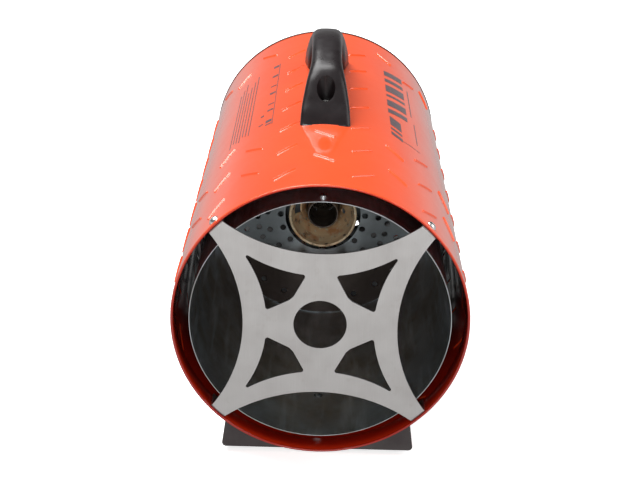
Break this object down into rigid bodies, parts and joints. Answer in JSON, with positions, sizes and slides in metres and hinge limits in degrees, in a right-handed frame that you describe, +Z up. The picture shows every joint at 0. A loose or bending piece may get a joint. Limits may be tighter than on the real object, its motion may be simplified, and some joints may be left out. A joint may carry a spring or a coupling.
{
  "type": "portable gas space heater",
  "caption": "Portable forced-air gas heater: a ribbed steel barrel with a cross-shaped outlet guard, a top carrying handle and a sheet-metal base with controls at the rear.",
  "frame": {"origin": "on the floor, under the middle of the object's box", "axes": "the outlet faces -Y, +Z is up, X runs left to right and is the symmetry axis of the outer form"},
  "size_m": [0.1838, 0.347, 0.2785],
  "materials": {
    "shell_paint": "gloss orange-red powder paint",
    "base_paint": "satin dark grey paint",
    "guard_black": "semi-gloss black",
    "bright_sheet": "satin rolled stainless sheet",
    "chamber_steel": "bare rolled sheet, blue-grey",
    "heat_steel": "heat-tinted steel",
    "plated_steel": "zinc plated",
    "lamination": "dull oiled iron",
    "bronze": "sintered",
    "brass": "machined",
    "copper": "drawn copper",
    "fan_sheet": "pressed",
    "coil_tape": "insulating tape",
    "handle_plastic": "moulded, satin",
    "black_plastic": "moulded",
    "red_plastic": "moulded",
    "ivory_plastic": "moulded",
    "ceramic": "glazed",
    "rubber": "moulded",
    "silicone": "sleeved"
  },
  "bodies": {
    "heater": {"outer_shell": "shell_paint", "handle": "handle_plastic", "handle_screws": "plated_steel", "handle_nuts": "plated_steel", "front_guard": "bright_sheet", "guard_screws": "plated_steel", "combustion_chamber": "chamber_steel", "seam_rivets": "plated_steel", "chamber_spacers": "chamber_steel", "chamber_rivets": "plated_steel", "burner_plate": "chamber_steel", "burner_cup": "heat_steel", "mixer_tube": "heat_steel", "burner_bracket": "chamber_steel", "gas_jet": "brass", "gas_pipe": "copper", "electrode_bracket": "bright_sheet", "igniter_insulator": "ceramic", "igniter_rod": "heat_steel", "thermocouple": "heat_steel", "thermocouple_lead": "copper", "ignition_lead": "silicone", "overheat_thermostat": "black_plastic", "motor_bracket": "chamber_steel", "bracket_screws": "plated_steel", "motor_stator": "lamination", "motor_coil": "coil_tape", "motor_bridges": "plated_steel", "motor_bearings": "bronze", "motor_screws": "plated_steel", "motor_lead": "rubber", "rear_guard": "guard_black", "rear_guard_screws": "plated_steel", "grommets": "rubber", "base_box": "base_paint", "bottom_plate": "base_paint", "base_screws": "plated_steel", "barrel_screws": "plated_steel", "rubber_feet": "rubber", "control_panel": "base_paint", "panel_screws": "plated_steel", "power_switch_body": "black_plastic", "piezo_body": "black_plastic", "gas_valve_body": "brass", "gas_inlet_fitting": "brass", "cable_gland": "black_plastic", "terminal_block": "ivory_plastic"},
    "fan": {"motor_shaft": "plated_steel", "motor_rotor": "lamination", "fan_wheel": "fan_sheet", "fan_nut": "brass"},
    "rocker": {"power_switch_rocker": "red_plastic"},
    "igniter_button": {"piezo_button": "red_plastic"},
    "valve_button": {"gas_valve_button": "red_plastic"}
  },
  "joints": [
    {"name": "fan_spin", "type": "hinge", "parent": "heater", "child": "fan", "pos_m": [0, 0.1265, 0.15], "axis": [0, 1, 0], "continuous": true},
    {"name": "rocker_tip", "type": "hinge", "parent": "heater", "child": "rocker", "pos_m": [0.034, 0.1405, 0.044], "axis": [1, 0, 0], "range_deg": [-20, 0]},
    {"name": "igniter_press", "type": "slide", "parent": "heater", "child": "igniter_button", "axis": [0, -1, 0], "range_m": [0, 0.007], "stiffness_N_per_m": 900, "springref_m": -0.002},
    {"name": "valve_press", "type": "slide", "parent": "heater", "child": "valve_button", "axis": [0, -1, 0], "range_m": [0, 0.006], "stiffness_N_per_m": 900, "springref_m": -0.002}
  ]
}
